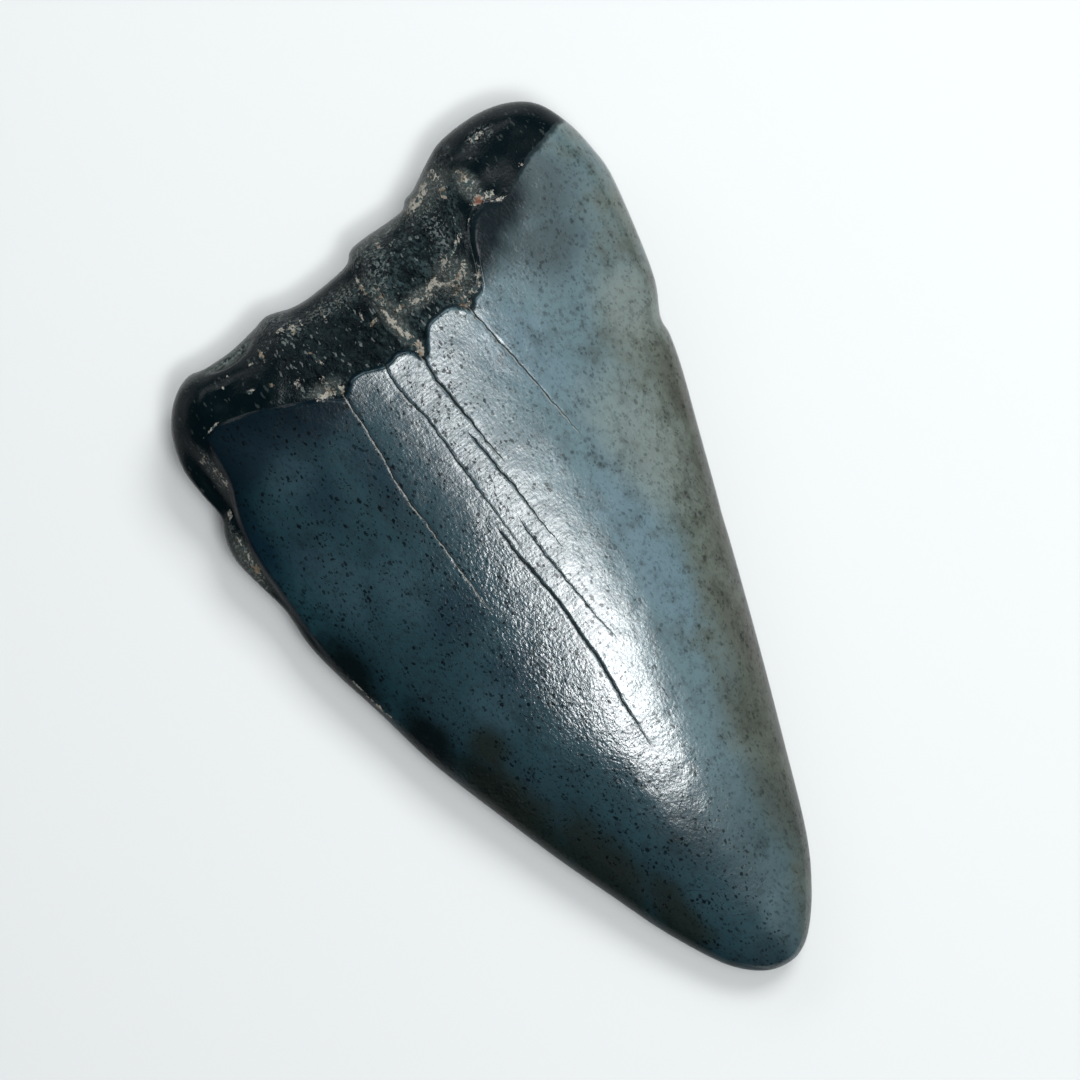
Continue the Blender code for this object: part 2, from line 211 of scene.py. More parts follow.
def crack_half_width(name, y):
    """A crack's half width: full near its top, and a square root of the way up from its lower end.
    It is below 0 past both ends."""
    points, half_width, _, _ = CRACKS[name]
    low, high = points[0][1], points[-1][1]
    upper = (high - y) / CRACK_UPPER_TAPER if name in ENDING_IN_CROWN else high + CRACK_OVERRUN - y
    lower = np.clip((y - low) / CRACK_LOWER_TAPER, -1, 1)
    return half_width * np.minimum(np.sign(lower) * np.sqrt(np.abs(lower)), np.clip(upper, -1, 1))


# The grid. The upper and the lower face are two sheets over one grid of points that share the
# outline. Rows run from the root's edge to the enamel's edge and on to the tip, and columns follow
# the outline, the enamel's side and four lines of cracks, and crowd beside them.

GRID_LINES = {
    "a": CRACKS["a"][0],
    "b": [(-2.2, -17.9), (-1.8, -8.4), (-1.8, -1.6), (-2.4, 4.5), (-2.5, 9.0), (-2.3, 14.7),
          (-2.5, 20.0), (-3.1, 25.0), (-2.9, 28.0)],
    "c": [(1.0, -7.3), (0.2, -1.1), (0.5, 4.0), (1.1, 7.2), (0.9, 11.0), (1.2, 15.5),
          (0.8, 20.5), (0.5, 24.0), (0.7, 26.6)],
    "f": CRACKS["f"][0],
}
# From line to line across the tooth: the cells, and how much they crowd to the lines.
CELLS_BETWEEN = (14, 38, 24, 36, 28, 44)
CROWDING = (1.0, 0.6, 0.6, 0.0, 0.6, 0.6)
# The rows of root and crown, the power that crowds the crown's towards the root, and the tip's own.
ROOT_ROWS = 70
CROWN_ROWS = 180
CROWN_ROW_GROWTH = 1.12
TIP_ROWS = 14
TIP_REACH = 4.0
# In mm: the least width of the strip beside the left outline, and the width of the tooth below
# which the strip narrows with it.
STRIP_WIDTH = 0.9
STRIP_NARROWS_AT = 5
# How sharply the root's rows bend onto the outline.
ROOT_PULL = 8
# The top row's places depend on its own heights, so they are worked out this many times over.
TOP_ROW_PASSES = 8


def line_x(points, y):
    """The x of a line of the grid, which keeps its share of the tooth's width below its end."""
    xs, ys = np.array(points, float).T
    share = (xs[0] - left_x(ys[0])) / (right_x(ys[0]) - left_x(ys[0]))
    below = left_x(y) + share * (right_x(y) - left_x(y))
    return np.where(y < ys[0], below, np.interp(y, ys, xs))


def column_places():
    """For each column, the line at its left and its share of the way to the next line: even, or
    eased by a smoothstep towards both lines, and by a cosine towards the outline on the left."""
    places = []
    for line, (cells, crowding) in enumerate(zip(CELLS_BETWEEN, CROWDING)):
        even = np.arange(cells) / cells
        eased = 1 - np.cos(even * np.pi / 2) if line == 0 else even * even * (3 - 2 * even)
        places += [(line, share) for share in even + crowding * (eased - even)]
    places.append((len(CELLS_BETWEEN) - 1, 1.0))
    line, share = np.array(places).T
    return line.astype(int), share


def column_x(y):
    """The x of each column, given the y of each column: a straight blend of two grid lines."""
    width = right_x(y) - left_x(y)
    side = np.interp(y, enamel_side[:, 1], enamel_side[:, 0])
    side = np.maximum(side, left_x(y) + STRIP_WIDTH * np.minimum(width / STRIP_NARROWS_AT, 1))
    lines = [left_x(y), side] + [line_x(points, y) for points in GRID_LINES.values()] + [right_x(y)]
    lines = np.stack(lines)
    line, share = column_places()
    column = np.arange(len(line))
    return lines[line, column] * (1 - share) + lines[line + 1, column] * share


def root_rows(top_x, top_y):
    """The rows from the root's edge to the enamel's: straight blends of the two edges, half even
    and half eased by a cosine, whose ends are pulled onto the outline."""
    across = (top_x - top_x[0]) / (top_x[-1] - top_x[0])
    left, right = ROOT_CORNERS
    edge_x = left[0] + across * (right[0] - left[0])
    edge_y = root_y(edge_x)
    even = np.arange(ROOT_ROWS)[:, None] / ROOT_ROWS
    upward = 0.5 * (1 - even) + 0.25 * (1 + np.cos(np.pi * even))
    x = top_x + upward * (edge_x - top_x)
    y = top_y + upward * (edge_y - top_y)
    pull = (left_x(y[:, :1]) - x[:, :1]) * (1 - across) ** ROOT_PULL
    x += pull + (right_x(y[:, -1:]) - x[:, -1:]) * across**ROOT_PULL
    x[0] = edge_x
    return x, y


def crown_rows(top_y):
    """The rows from the enamel's edge to the tip: scalloped at first, straight lower down, and
    closer by the square of their count in the last few millimetres."""
    mean = top_y.mean()
    length = mean - TIP[1]
    near_tip = TIP_REACH * (np.arange(TIP_ROWS) / TIP_ROWS) ** 2
    down = np.linspace(0, 1, CROWN_ROWS + 1) ** CROWN_ROW_GROWTH
    above_tip = np.append(length - (length - TIP_REACH) * down, near_tip[::-1])
    share = above_tip[:, None] / length
    y = TIP[1] + share * length + (top_y - mean) * share**3
    x = np.array([column_x(row) for row in y])
    x[-1], y[-1] = outline[lowest]
    return x, y


top_y = np.full(sum(CELLS_BETWEEN) + 1, ENAMEL_TOP[0][1])
for _ in range(TOP_ROW_PASSES):
    top_y = np.interp(column_x(top_y), enamel_top[:, 0], enamel_top[:, 1])
root_x, root_row_y = root_rows(column_x(top_y), top_y)
crown_x, crown_y = crown_rows(top_y)
grid_x = np.vstack([root_x, crown_x])
grid_y = np.vstack([root_row_y, crown_y])
on_edge = np.zeros(grid_x.shape, bool)
on_edge[:, [0, -1]] = True
on_edge[[0, -1], :] = True
inset = np.where(on_edge, 0, distance_to(outline, grid_x, grid_y))
enamel_depth = enamel_inset(grid_x, grid_y)


# The body. The tooth is a blade about a quarter as thick as it is wide, with a rounded rim all
# round and a swollen upper face that is highest along its middle and falls away to the tip.
# Stations are (y, height) in mm.

EDGE_HEIGHT = [(-44, 2.3), (-30, 2.9), (-10, 3.5), (10, 4.0), (26, 4.8), (36, 6.0), (44, 6.4)]
EDGE_RADIUS = [(-44, 0.8), (-30, 0.9), (0, 1.0), (15, 1.3), (26, 2.0), (34, 3.0), (44, 3.4)]
SWELL = [(-44, 0.0), (-42, 0.9), (-38, 2.1), (-33, 3.3), (-28, 4.5), (-15, 6.3), (0, 7.2),
         (15, 7.3), (20, 7.1), (25, 6.6), (30, 5.9), (36, 5.2), (44, 4.6)]
# Past these places on the left and right the sides count as upright. The falls are the lengths over
# which the faces come down at the root and the tip, and the belly sinks by this share of the height
# under its rim.
SHOULDER_Y = (31.0, 34.0)
ROOT_FALL = 9.0
UPPER_TIP_FALL = 0.5
LOWER_TIP_FALL = 16.0
BELLY_SHARE = 1.15
BELLY_WAVES = 0.05
# The power of the curve across the tooth: 2 is a parabola, and more is flatter in the middle.
PROFILE = [(-44, 2.4), (-30, 2.3), (-20, 2.3), (-11, 2.6), (2, 2.3), (12, 1.95), (20, 1.75),
           (27, 1.95), (44, 1.95)]
# How far the ridge lies left of the middle, as a share of half the width.
RIDGE = [(-44, -0.02), (-28, -0.03), (-20, -0.04), (-13, -0.01), (-5, -0.05), (4, -0.04), (12, 0),
         (20, 0.05), (28, 0.13), (44, 0.13)]
# The points of the noise's lattice each way.
LATTICE = 256


def rim_rise(y, inset):
    """A quarter circle that rises from the outline to the rim's radius."""
    radius = along(EDGE_RADIUS, y)
    return np.sqrt(radius**2 - (radius - np.minimum(inset, radius)) ** 2)


def across_tooth(x, y):
    """-1 on the left outline, 0 along the middle and 1 on the right outline."""
    left = left_x(np.minimum(y, SHOULDER_Y[0]))
    right = right_x(np.minimum(y, SHOULDER_Y[1]))
    return np.clip((2 * x - left - right) / (right - left + 1e-6), -1, 1)


def fullness(x, y, tip_fall):
    """1 along the middle and 0 on the outline: a power curve across, times a parabola at each end."""
    from_root = np.clip((root_y(x) - y) / ROOT_FALL, 0, 1)
    from_tip = np.clip((y - TIP[1]) / tip_fall, 0, 1)
    ends = (1 - (1 - from_root) ** 2) * (1 - (1 - from_tip) ** 2)
    across = across_tooth(x, y)
    across = across + along(RIDGE, y) * (1 - across**2)
    return (1 - np.abs(across) ** along(PROFILE, y)) * ends


def lattice_noise(x, y, pitch, seed, turn=0.0, stretch=1.0):
    """Noise from -1 to 1: random values on a lattice of squares, eased between its points. The
    lattice may be turned, and drawn out along the tooth."""
    values = np.random.default_rng(seed).uniform(-1, 1, (LATTICE, LATTICE))
    u = (x * np.cos(turn) + y * np.sin(turn) / stretch) / pitch + LATTICE / 2
    v = (y * np.cos(turn) / stretch - x * np.sin(turn)) / pitch + LATTICE / 2
    i, j = (np.floor(place).astype(int) % (LATTICE - 1) for place in (u, v))
    s, t = smoothstep(0, 1, u % 1), smoothstep(0, 1, v % 1)
    low = values[i, j] * (1 - s) + values[i + 1, j] * s
    high = values[i, j + 1] * (1 - s) + values[i + 1, j + 1] * s
    return low * (1 - t) + high * t


# The root. Bare dentine, black and lumpy: two polished lobes with a rough, pitted saddle between
# them, a scooped facet on its rim, and a deep worn hollow beside the enamel on the left.

# How far the enamel stands above the root at each x. The ledge slopes from just outside the enamel's
# edge to just inside it, and all relief fades in over the skirt's width from the outline.
LEDGE = [(-26, 0.25), (-21, 0.3), (-14, 0.3), (-10, 0.5), (-7, 0.7), (0, 0.8), (4, 0.8), (8, 0.7),
         (12, 0.45), (16, 0.15), (20, 0.05), (26, 0.05)]
LEDGE_BELOW = 0.1
LEDGE_ABOVE = 0.45
SKIRT = 1.6
# Lumps are (x, y, radius, height) in mm, and dents (x, y, radius along X, radius along Y, depth).
LUMPS = [
    (-20.5, 35.8, 4.5, 0.2), (-10.0, 35.0, 3.2, 0.5), (-0.4, 34.5, 1.6, 0.6), (4.0, 36.0, 3.0, 0.5),
    (8.2, 31.6, 1.8, 0.7), (10.0, 39.6, 1.8, 0.5), (4.0, 30.3, 2.0, -0.7), (-4.5, 30.0, 2.4, -0.4),
    (12.5, 40.2, 1.1, -0.7), (9.0, 37.2, 1.6, -0.5), (6.0, 33.5, 1.2, 0.4), (-6.0, 33.0, 1.5, 0.3),
]
HOLLOW = (-23.8, 28.2, 1.15, 3.4, 1.5)
SIDE_TROUGH = (-25.0, 18.5, 0.7, 4.0, 0.5)
SCOOP = (-15.4, 38.7, 3.4, 2.2, 1.3)
ROOT_WAVES = 0.2
LOBE_GRAIN = 0.04
PIT_DEPTH = 0.35
# The saddle's grain, in layers of (height, pitch, seed, turn in radians, stretch).
SADDLE_GRAIN = [(0.26, 1.3, 31, 0.5, 1.3), (0.2, 0.7, 32, 1.1, 1.4), (0.12, 0.42, 33, 0.2, 1.2)]
NECK_LINE = [(9.4, 30.2), (10.4, 31.4), (12.5, 32.4), (15.0, 33.5), (16.5, 34.6), (18.0, 36.0)]


def bowl(x, y, centre_x, centre_y, radius_x, radius_y, depth):
    """A soft dent: depth times a bell over an ellipse."""
    return depth * np.exp(-(((x - centre_x) / radius_x) ** 2) - ((y - centre_y) / radius_y) ** 2)


def rough_zone(x, y):
    """1 on the rough saddle of the root and 0 on its polished lobes and rim: three steps with ragged
    edges, multiplied."""
    from_left = smoothstep(-15.5, -9.5, x + 1.5 * lattice_noise(x, y, 3.0, 21, 0.4))
    from_right = 1 - smoothstep(11.8, 13.2, x - 0.45 * (y - 39))
    from_rim = smoothstep(0.4, 1.9, root_y(x) - y + 0.5 * lattice_noise(x, y, 2.0, 22, 0.9))
    return from_left * from_right * from_rim


def neck_zone(x, y):
    """1 on the smooth dark neck, where the enamel thins out below the right lobe: three steps,
    multiplied."""
    line_x, line_y = np.array(NECK_LINE).T
    above = y - np.interp(x, line_x, line_y) + 0.4 * lattice_noise(x, y, 1.1, 23, 0.5)
    return smoothstep(-4.2, 0.1, above) * smoothstep(9.0, 10.2, x) * (1 - smoothstep(16.5, 20.0, x))


def scoop_zone(x, y):
    """1 on the scooped facet of the rim: an ellipse with a crisp edge."""
    centre_x, centre_y, radius_x, radius_y, _ = SCOOP
    return smoothstep(1.04, 0.88, np.hypot((x - centre_x) / radius_x, (y - centre_y) / radius_y))


def root_relief(x, y):
    """The root's own surface: a drop from the enamel with waves and lumps, then grain and pits on
    the saddle, faint grain on the lobes, and the scooped facet cut out of it."""
    relief = -along(LEDGE, x) + ROOT_WAVES * lattice_noise(x, y, 2.3, 7)
    for lump_x, lump_y, radius, lump in LUMPS:
        relief += bowl(x, y, lump_x, lump_y, radius, radius, lump)
    rough = rough_zone(x, y)
    grain = sum(height * lattice_noise(x, y, *layer) for height, *layer in SADDLE_GRAIN)
    pits = smoothstep(0.3, 0.8, lattice_noise(x, y, 0.9, 34, 0.8, 1.5))
    on_lobes = (1 - rough) * LOBE_GRAIN * lattice_noise(x, y, 0.9, 35, 0.3)
    relief += rough * (grain - PIT_DEPTH * pits) + on_lobes
    return relief - SCOOP[-1] * scoop_zone(x, y)


# Rock in the root's hollows. Pale and tan crumbs of the rock that the tooth lay in are left where
# the polishing didn't reach: in the notches at the cracks, along the ridge over the enamel, and in
# short upright slits.

CRUMB_HEIGHT = 0.16
# Each crumb and each dusty patch is (x, y, half length, half width, turn in degrees) in mm.
CRUMBS = [
    (-9.0, 28.6, 1.4, 0.35, -8), (-8.1, 28.4, 0.6, 0.45, 0), (-8.9, 29.7, 0.9, 0.2, 80),
    (0.75, 27.5, 0.9, 0.4, 80), (0.3, 29.2, 0.9, 0.5, 90), (0.0, 31.2, 1.2, 0.35, 95),
    (0.3, 33.5, 1.1, 0.3, 80), (-0.6, 35.8, 1.2, 0.2, 88), (1.6, 31.9, 0.9, 0.25, 10),
    (3.4, 31.4, 1.3, 0.25, -12), (5.2, 31.9, 1.0, 0.35, 20), (6.3, 31.2, 0.9, 0.25, -35),
    (7.0, 28.7, 0.7, 0.5, 60), (7.2, 30.6, 0.9, 0.55, 70), (8.6, 29.2, 1.0, 0.25, 0),
    (9.7, 30.2, 0.8, 0.25, 75), (8.6, 31.4, 0.9, 0.35, 40), (7.5, 32.8, 1.0, 0.3, 70),
    (9.7, 34.0, 1.1, 0.2, 32), (8.6, 33.4, 0.35, 0.25, 0), (12.0, 35.1, 0.3, 0.2, 0),
    (13.7, 36.3, 0.8, 0.5, 10), (14.9, 36.1, 0.5, 0.4, -20), (15.4, 35.2, 0.7, 0.18, -15),
    (10.6, 36.1, 0.35, 0.18, 70), (19.0, 36.9, 0.3, 0.22, 60), (8.4, 39.7, 1.3, 0.5, 15),
    (9.7, 40.3, 0.8, 0.5, 40), (11.4, 41.2, 1.0, 0.3, 95), (11.2, 38.8, 0.8, 0.3, 70),
    (13.7, 38.6, 1.2, 0.4, 100), (17.0, 41.7, 0.7, 0.3, 0), (15.5, 40.4, 0.4, 0.15, 60),
    (-20.5, 32.4, 0.9, 0.12, 12), (-15.4, 33.2, 0.3, 0.25, 0), (-13.3, 32.5, 0.5, 0.15, 30),
    (-17.4, 35.1, 0.18, 0.15, 0), (-16.6, 35.8, 0.15, 0.12, 0), (-13.9, 35.5, 0.2, 0.15, 0),
    (-12.5, 35.6, 0.7, 0.1, 88), (-10.5, 35.5, 0.7, 0.14, 84), (-9.6, 36.5, 0.4, 0.3, 20),
    (-8.5, 36.0, 0.6, 0.35, 95), (-7.5, 36.2, 0.8, 0.09, 85), (-5.3, 35.8, 0.7, 0.1, 88),
    (-3.5, 36.0, 0.6, 0.1, 85), (-8.2, 32.2, 1.0, 0.17, 100), (-11.0, 31.2, 0.5, 0.25, 60),
    (-2.2, 33.2, 0.5, 0.12, 75), (-1.6, 32.0, 0.5, 0.15, 20),
    (3.0, 38.2, 0.6, 0.2, 85), (-23.3, 30.4, 0.35, 0.3, 0), (-22.7, 28.6, 1.4, 0.2, 88),
    (-22.6, 27.3, 0.4, 0.25, 80), (-24.1, 24.6, 0.5, 0.2, 60), (-25.0, 19.0, 1.2, 0.3, 85),
    (-24.9, 21.5, 0.8, 0.15, 75), (-23.2, 3.4, 0.9, 0.1, 105), (-22.6, 0.4, 1.5, 0.1, 104),
]
DUSTY = [
    (9.6, 39.9, 2.8, 1.5, 25), (13.6, 38.2, 1.6, 0.9, 100), (0.2, 31.8, 3.8, 0.7, 93),
    (3.6, 31.5, 3.6, 0.8, -4), (7.3, 31.2, 2.6, 1.4, 75), (8.6, 29.5, 1.8, 0.9, 15),
    (-9.2, 29.4, 1.8, 0.6, -15), (-8.8, 36.0, 1.3, 0.9, 0),
    (-3.5, 36.0, 3.0, 0.8, 0), (1.5, 36.6, 3.0, 1.2, 60), (8.8, 36.6, 2.2, 0.9, 80),
    (17.4, 41.6, 1.2, 0.7, 0), (-23.0, 29.0, 2.0, 0.4, 88), (0.2, 38.8, 7.0, 0.5, 4),
    (-15.4, 37.6, 2.6, 0.55, 0), (-10.0, 38.2, 2.0, 0.6, 0), (-25.2, 19.5, 3.5, 0.6, 85),
]


def crumb_field(x, y, crumbs):
    """1 in the middle of a crumb, falling by a bell along and across it to 0 outside."""
    field = np.zeros_like(x)
    for crumb_x, crumb_y, half_length, half_width, degrees in crumbs:
        turn = np.radians(degrees)
        lengthwise = ((x - crumb_x) * np.cos(turn) + (y - crumb_y) * np.sin(turn)) / half_length
        sideways = ((y - crumb_y) * np.cos(turn) - (x - crumb_x) * np.sin(turn)) / half_width
        field = np.maximum(field, np.exp(-0.7 * (lengthwise**2 + sideways**2)))
    return field


# Stains. Minerals from the mud and water around the tooth coloured it while it turned to stone,
# and each kind lies in ragged clouds. Each stain is its screen colour from 0 to 255, its strength,
# and its clouds as (x, y, radius along X, radius along Y) in mm. Later stains cover earlier ones.

ENAMEL_STAINS = {
    "navy": ((5, 25, 38), 0.8, [(-20, 30, 8, 6), (-11, 29, 7, 4.5), (-24, 24, 3.0, 10)]),
    "slate_blue": ((9, 32, 46), 0.5, [
        (-15.5, 21, 2.5, 5), (-9.5, 19, 2.2, 6), (-11, 4, 4, 4), (-9, -4, 4, 3), (-20, 17, 2, 3)]),
    "dusk": ((54, 78, 88), 0.4, [(-19.5, 13, 4, 6), (-14, 9, 3, 5), (-17, 24, 3, 2.5), (-13, -6, 3, 4)]),
    "ink": ((2, 6, 6), 0.9, [(-23.5, 4, 4.0, 7), (-20.5, -5, 3.0, 6), (-17.8, -13, 2.2, 6)]),
    "olive": ((20, 29, 23), 0.9, [
        (-17.5, -18, 4.2, 10), (-13.5, -26, 4, 9), (-9.5, -34, 2.6, 6), (-15.5, -9, 2.4, 3)]),
    "pale": ((118, 129, 125), 0.6, [(20.5, 19.5, 4, 5), (14, 7, 4.5, 9)]),
    "bright_blue": ((94, 118, 130), 0.5, [(8, -1, 3, 13), (9, 22, 4, 7)]),
    "slate_grey": ((57, 72, 75), 0.9, [(19, 34.5, 4.5, 6), (17, 29, 5, 4)]),
    "umber": ((70, 70, 62), 0.6, [(20.5, 9, 2.4, 7), (16.8, -5, 2.4, 6), (11.8, -16, 2.6, 10)]),
    "mud": ((66, 69, 62), 0.6, [(8, -21, 4.0, 6), (5.5, -29, 3, 7)]),
    "tip_grey": ((52, 67, 69), 0.5, [(2.0, -32, 6, 9), (0.5, -40, 3.5, 4)]),
    "tip_dusk": ((29, 47, 52), 0.55, [(-3.2, -41.8, 3.2, 3), (-4.5, -27.5, 3.2, 4)]),
}
ROOT_STAINS = {
    "facet": ((74, 79, 76), 0.6, [
        (9.6, 40.2, 3.0, 2.0), (13.6, 38.3, 1.2, 2.0), (7.2, 31.2, 2.2, 2.4), (0.3, 31.5, 1.2, 3.8),
        (3.6, 31.5, 3.2, 0.9), (-9.2, 29.3, 2.0, 0.8), (1.0, 39.3, 6.0, 0.8), (-25.4, 19.5, 1.2, 4.0),
        (-20.6, 38.2, 2.6, 0.8)]),
}
# Past this many times a cloud's size, every point counts as equally far from it.
FARTHEST = 4.0


def cloud_reach(x, y, clouds):
    """0 in the middle of the nearest cloud and 1 on its ellipse, growing evenly outwards."""
    reaches = [np.hypot((x - cx) / rx, (y - cy) / ry) for cx, cy, rx, ry in clouds]
    return np.minimum(np.min(reaches, axis=0), FARTHEST)


# The crown's surface. Enamel, polished by wear: nearly smooth, with long low swells between the
# cracks, a faint waviness and rounded shoulders where it meets the root.

WAVINESS = 0.035
FINE_WAVINESS = 0.02
# A crack with this half width in mm is fully open. Its groove deepens no further than this many
# times that, its lips swell by this height and width, and the right one sinks by this share.
OPEN_CRACK = 0.12
DEEPEST = 1.2
LIP_SWELL = 0.012
LIP_WIDTH = 0.9
RIGHT_LIP = -0.4


def crown_relief(x, y):
    """Low waves drawn out along the tooth, and the cracks: each is a V whose depth goes with its
    half width, with its left lip a little higher than its right one."""
    relief = WAVINESS * lattice_noise(x, y, 3.5, 41, 0.2, 2.0)
    relief = relief + FINE_WAVINESS * lattice_noise(x, y, 1.2, 42, 0.7)
    for name in CRACKS:
        side = crack_side(name, x, y)
        half_width = np.maximum(crack_half_width(name, y), 0)
        openness = half_width / OPEN_CRACK
        groove = np.clip(1 - np.abs(side) / (CRACK_SPREAD + half_width), 0, 1) * (half_width > 0)
        relief -= CRACK_DEPTH * np.minimum(openness, DEEPEST) * groove
        lips = LIP_SWELL * openness * np.exp(-((side / LIP_WIDTH) ** 2))
        relief += lips * np.where(side < 0, 1, RIGHT_LIP)
    return relief


def upper_height(x, y, inset, depth, crumbs):
    """The upper face: the sum of the edge, rim, swelling, enamel over root and crumbs, less the
    worn hollows at the left."""
    height = along(EDGE_HEIGHT, y) + rim_rise(y, inset)
    height += along(SWELL, y) * fullness(x, y, UPPER_TIP_FALL)
    root = 1 - smoothstep(-LEDGE_BELOW, LEDGE_ABOVE, depth)
    inward = smoothstep(0, SKIRT, inset)
    near_edge = smoothstep(0, 0.5, inset)
    bare = 1 - smoothstep(-0.15, 0.25, depth)
    height += inward * (root * root_relief(x, y) + (1 - bare) * crown_relief(x, y))
    height -= near_edge * bare * (bowl(x, y, *HOLLOW) + bowl(x, y, *SIDE_TROUGH))
    ragged = smoothstep(0.35, 0.75, crumbs + 0.3 * lattice_noise(x, y, 0.45, 51, 0.6))
    return height + near_edge * CRUMB_HEIGHT * ragged * (0.7 + 0.5 * lattice_noise(x, y, 0.3, 52, 1.0))


def lower_height(x, y, inset):
    """The lower face: the same rim turned down, and a belly worn flat where the tooth rests. Its
    faint waves fade out at the rim, and the surface that it lies on cuts them off."""
    radius = along(EDGE_RADIUS, y)
    edge = along(EDGE_HEIGHT, y)
    belly = BELLY_SHARE * (edge - radius) * fullness(x, y, LOWER_TIP_FALL)
    waves = BELLY_WAVES * lattice_noise(x, y, 3.0, 61, 0.5, 1.6) * smoothstep(0.5, 3.0, inset)
    return np.maximum(edge - rim_rise(y, inset) - belly + waves, 0)


crumbs = crumb_field(grid_x, grid_y, CRUMBS)
rim = along(EDGE_HEIGHT, grid_y)
upper = np.where(on_edge, rim, upper_height(grid_x, grid_y, inset, enamel_depth, crumbs))
lower = np.where(on_edge, rim, lower_height(grid_x, grid_y, inset))


# The mesh. Both sheets are written into one closed mesh that shares the outline's points, with
# what the finish needs to know about each point stored on it.

# On the lower face the root reaches this much further down, in full this far in from the
# outline, and its stains fade out within this width of the outline.
UNDER_ROOT = 7.0
UNDER_ROOT_INSET = 10
STAIN_RIM = 3


def tooth_mesh(name):
    """Numbers the upper sheet's points row by row, gives the lower sheet new numbers only inside
    the outline, and joins each square of the grid to a face. The last row is one point, the tip,
    under a row of triangles, and the numbers left unused are closed up."""
    rows, columns = grid_x.shape
    above = np.arange(rows * columns).reshape(rows, columns)
    above[-1] = above[-1, 0]
    below = above.copy()
    inner = ~on_edge
    below[inner] = rows * columns + np.arange(inner.sum())
    places = np.concatenate([
        np.stack([grid_x, grid_y, upper], -1).reshape(-1, 3),
        np.stack([grid_x[inner], grid_y[inner], lower[inner]], -1),
    ])
    used = np.unique([above, below])
    renumber = np.zeros(len(places), int)
    renumber[used] = np.arange(len(used))
    faces = []
    for sheet, turn in ((renumber[above], 1), (renumber[below], -1)):
        squares = np.stack([sheet[:-1, :-1], sheet[1:, :-1], sheet[1:, 1:], sheet[:-1, 1:]], -1)
        faces += squares[:-1, :, ::turn].reshape(-1, 4).tolist()
        faces += squares[-1][:, [0, 1, 3]][:, ::turn].tolist()
    mesh = bpy.data.meshes.new(name)
    mesh.from_pydata(((places[used] - [*middle, 0]) * MM).tolist(), [], faces)
    mesh.shade_smooth()

    def store(label, upper_values, lower_values, kind="FLOAT"):
        """Puts one value or three on each point: the grid's for the upper sheet, then the lower's."""
        above_values = upper_values.reshape(rows * columns, -1)
        values = np.concatenate([above_values, lower_values[inner].reshape(inner.sum(), -1)])[used]
        layer = mesh.attributes.new(label, kind, "POINT")
        layer.data.foreach_set("value" if kind == "FLOAT" else "vector", values.ravel().astype(np.float32))

    nowhere = np.zeros_like(grid_x)
    across = across_tooth(grid_x, grid_y)
    rough = rough_zone(grid_x, grid_y)
    root_reach = UNDER_ROOT * smoothstep(0, UNDER_ROOT_INSET, inset)
    under_rim = FARTHEST * smoothstep(0, STAIN_RIM, inset)
    store("enamel", enamel_depth, enamel_inset(grid_x, grid_y + root_reach))
    store("across", across, across)
    store("crumbs", crumbs, nowhere)
    store("dusty", crumb_field(grid_x, grid_y, DUSTY), nowhere)
    store("rough", rough, rough * 0.5)
    store("neck", neck_zone(grid_x, grid_y), nowhere)
    store("scoop", scoop_zone(grid_x, grid_y), nowhere)
    for stain, (_, _, clouds) in {**ENAMEL_STAINS, **ROOT_STAINS}.items():
        reach = cloud_reach(grid_x, grid_y, clouds)
        store(stain, reach, reach if stain in ENAMEL_STAINS else reach + under_rim)
    # Where no crack is near, a row says that one lies far to the side and is shut, with no pale lip.
    sides, half_widths, rock_and_highlights = (np.stack([nowhere + value] * 3, -1) for value in (9.0, -1.0, 0.0))
    for crack, (*_, rock_and_highlight_share, row) in CRACKS.items():
        side = crack_side(crack, grid_x, grid_y)
        near = np.abs(side) < CRACK_REACH
        sides[near, row] = side[near]
        half_widths[near, row] = crack_half_width(crack, grid_y[near])
        rock_and_highlights[near, row] = rock_and_highlight_share
    store("crack_sides", sides, sides, "FLOAT_VECTOR")
    store("crack_half_widths", half_widths, half_widths - 1, "FLOAT_VECTOR")
    store("crack_rock_and_highlights", rock_and_highlights, rock_and_highlights, "FLOAT_VECTOR")
    return mesh


def in_scene(name, data):
    """An object with this data, put in the scene."""
    made = bpy.data.objects.new(name, data)
    bpy.context.scene.collection.objects.link(made)
    return made


tooth = in_scene("fossil_tooth", tooth_mesh("fossil_tooth"))
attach(tooth, "root")
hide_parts("shark_tooth")
